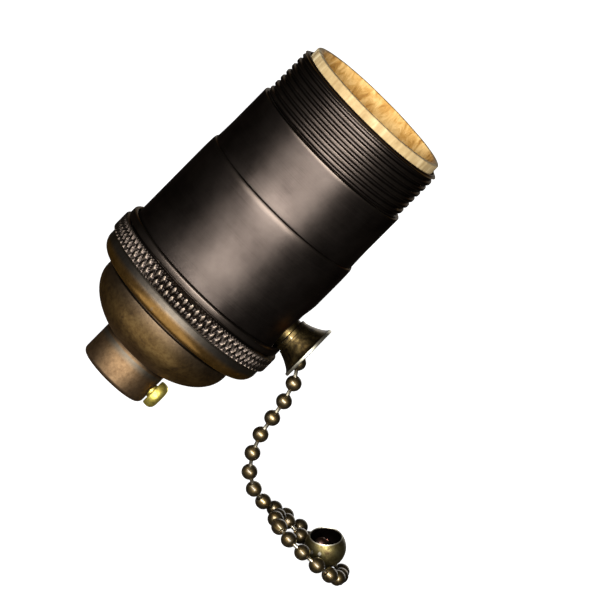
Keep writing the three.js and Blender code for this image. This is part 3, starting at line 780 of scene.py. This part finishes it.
def chain_of(centres, before=None, after=None):
    """Beads at the centres and links between them, and to a point before and after."""
    soup = Soup()
    stops = [p for p in (before, *centres, after) if p is not None]
    for i, centre in enumerate(stops):
        if centre not in centres:
            continue
        ahead = stops[min(i + 1, len(stops) - 1)]
        behind = stops[max(i - 1, 0)]
        bead(soup, centre, (Vector(ahead) - Vector(behind)).normalized())
    for a, b in zip(stops, stops[1:]):
        link(soup, a, b)
    return soup


def chain_ball():
    r, wall, mouth, hole = BALL["r"], BALL["wall"], BALL["mouth"], BALL["hole"]
    open_at = math.degrees(math.acos(mouth / r))
    inner = r - wall
    in_open = math.degrees(math.acos((mouth - 0.22) / inner))
    ring = [(0, -r), *arc((0, 0), (r, r), -88, open_at, 40),
            *arc((0, 0), (inner, inner), in_open, -88, 36), (0, -inner)]

    def seam(angle, radius, z):
        off = abs(math.remainder(angle - 2.2, TAU)) * radius
        return radius - 0.06 * max(0.0, 1 - off / 0.12) * (radius > 1.2), z

    ball = turned("ball", ring, 120, seam, at=facing(BALL_MIDDLE, BALL_FACING))
    along = (Vector(CHAIN_ROUTE[-1]) - Vector(END_BEAD)).normalized()
    cutter = turned("hole", [(0, 3), (hole, 3), (hole, 6), (0, 6)], 32, at=facing(END_BEAD, along))
    cut(ball, cutter)
    finish_piece(ball, "chain", BALL_BRASS, "chain_ball")
    return ball


def pull_chain():
    """The chain from the bell to the ball, the beads that stay inside and the one in the ball."""
    beads = [Vector(p) for p in CHAIN_ROUTE]
    inner = [Vector(p) for p in INNER_BEADS]
    last = Vector(END_BEAD)
    free = chain_of(beads, before=inner[-1], after=last)
    inside = chain_of(inner, before=Vector(EYELET))
    pieces = []
    for soup, name, node, brass in ((free, "pull_chain", "chain_free", CHAIN_BRASS),
                                    (inside, "chain_in_bell", "chain_inner", CHAIN_BRASS),
                                    (chain_of([last]), "end_bead", "chain_end_bead", END_BRASS)):
        piece = soup.object(name, [brass, LINK_BRASS])
        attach(piece, "chain")
        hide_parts(node)
        pieces.append(piece)
    return pieces


line = [Vector(p) for p in CHAIN_ROUTE]
line.append(line[-1].lerp(Vector(END_BEAD), PATH_END))
free, stub, end_bead = pull_chain()
ball = chain_ball()

socket_cap()
set_screw()
outer_shell()
insulating_liner()
lamp_screw_shell()
chain_bell()


# ---------------------------------------------------------------- kept CAD nodes


KEPT = {
    "contact_block": PHENOLIC, "switch_housing": PHENOLIC, "switch_rotor": PHENOLIC,
    "cap_insulator": BLACK_FIBRE,
    "shell_rivet_1": SCREW_BRASS, "shell_rivet_2": SCREW_BRASS, "centre_rivet": SCREW_BRASS,
    "hot_terminal": SCREW_BRASS, "hot_terminal_screw": SCREW_BRASS,
    "centre_contact": COPPER, "load_contact": COPPER, "bridge_contact": COPPER,
    "drive_pawl": COPPER,
    "neutral_terminal": ALUMINIUM,
    "neutral_terminal_screw": STEEL, "assembly_screw_1": STEEL, "assembly_screw_2": STEEL,
    "pull_lever": STEEL, "pivot_pin": STEEL, "return_spring": STEEL, "ratchet_wheel": STEEL,
    "detent_spring": STEEL,
}

for node, material in KEPT.items():
    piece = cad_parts[node]
    for holder in piece.material_slots:
        holder.material = material


# ---------------------------------------------------------------- floor and light


def floor(glow_strength):
    """A pale floor that glows softly where the object stands and behind it.

    Rays that don't come from the camera meet a duller floor, so that it lights and is mirrored
    less in the dark metal than it shows.
    """
    verts = [(-4000, -2500, 0), (4000, -2500, 0), (4000, 6000, 0), (-4000, 6000, 0)]
    plane = make("floor", verts, [(0, 1, 2, 3)])
    n = Nodes("pale_floor")
    middle, reach = (0.014 + AXIS_X, 0.70), (0.125, 0.95)
    mapping = n.add("ShaderNodeMapping")
    mapping.inputs["Location"].default_value = (-middle[0] / reach[0], -middle[1] / reach[1], 0)
    mapping.inputs["Scale"].default_value = (1 / reach[0], 1 / reach[1], 1)
    n.link(n.where, mapping.inputs["Vector"])
    away = n.add("ShaderNodeVectorMath", operation="LENGTH")
    n.link(mapping.outputs["Vector"], away.inputs[0])
    spread = n.math("MULTIPLY", away.outputs["Value"], 0.5)
    glow = n.ramp(spread, (0.5, 1.0), (0.72, 0.0))
    n.link(n.math("MULTIPLY", glow, glow_strength), n.shader.inputs["Emission Strength"])
    n.shader.inputs["Emission Color"].default_value = (1, 1, 1, 1)
    material = n.done(n.ramp(n.noise(3, 2), (0.3, 0.84), (0.7, 0.86)), 0.7)
    dull = n.add("ShaderNodeBsdfDiffuse")
    dull.inputs["Color"].default_value = (0.14, 0.14, 0.14, 1)
    seen = n.add("ShaderNodeMixShader")
    n.link(n.add("ShaderNodeLightPath").outputs["Is Camera Ray"], seen.inputs[0])
    n.link(dull.outputs[0], seen.inputs[1])
    n.link(n.shader.outputs[0], seen.inputs[2])
    n.link(seen.outputs[0], n.tree.nodes["Material Output"].inputs["Surface"])
    plane.data.materials.append(material)


def area_light(name, wide, tall, radiance, location, rotation):
    """A rectangular light of even radiance that the camera doesn't see."""
    data = bpy.data.lights.new(name, "AREA")
    data.shape = "RECTANGLE"
    data.size, data.size_y = wide, tall
    data.energy = radiance * math.pi * wide * tall
    light = bpy.data.objects.new(name, data)
    light.location, light.rotation_euler = location, rotation
    light.visible_camera = False
    bpy.context.scene.collection.objects.link(light)


def softbox(name, azimuth, low, high, distance, spread, radiance):
    """An upright light between two elevations. Azimuth 0 is the camera's side, and 90 is +X."""
    aim = Vector((AXIS_X, 0, 40 * MM))
    a = math.radians(azimuth)
    bottom, top = distance * math.tan(math.radians(low)), distance * math.tan(math.radians(high))
    wide = 2 * distance * math.tan(math.radians(spread / 2))
    across = Vector((math.sin(a), -math.cos(a), 0))
    location = aim + across * distance + Vector((0, 0, (top + bottom) / 2))
    rotation = (-across).to_track_quat("-Z", "Y").to_euler()
    area_light(name, wide, top - bottom, radiance, location, rotation)


def low_fill(name, front_y, back_y, wide, radiance):
    """A light lying on the floor in front of the object and facing up."""
    location = (AXIS_X, (front_y + back_y) / 2, 0.0005)
    area_light(name, wide, back_y - front_y, radiance, location, (math.pi, 0, 0))


def surroundings(strength):
    world = bpy.data.worlds.new("surroundings")
    world.use_nodes = True
    background = world.node_tree.nodes["Background"]
    background.inputs["Color"].default_value = (1, 1, 1, 1)
    background.inputs["Strength"].default_value = strength
    bpy.context.scene.world = world


floor(glow_strength=0.92)
surroundings(0.025)
softbox("key", azimuth=3, low=-1.5, high=15, distance=1.3, spread=58, radiance=31)
softbox("key_left", azimuth=-37, low=-1.5, high=15, distance=1.3, spread=18, radiance=13)
softbox("back", azimuth=180, low=3, high=40, distance=1.6, spread=50, radiance=1.2)
low_fill("front_fill", front_y=-0.36, back_y=-0.06, wide=0.06, radiance=2.4)
low_fill("near_fill", front_y=-0.055, back_y=-0.014, wide=0.036, radiance=1.3)
bpy.context.scene.view_settings.view_transform = "Standard"
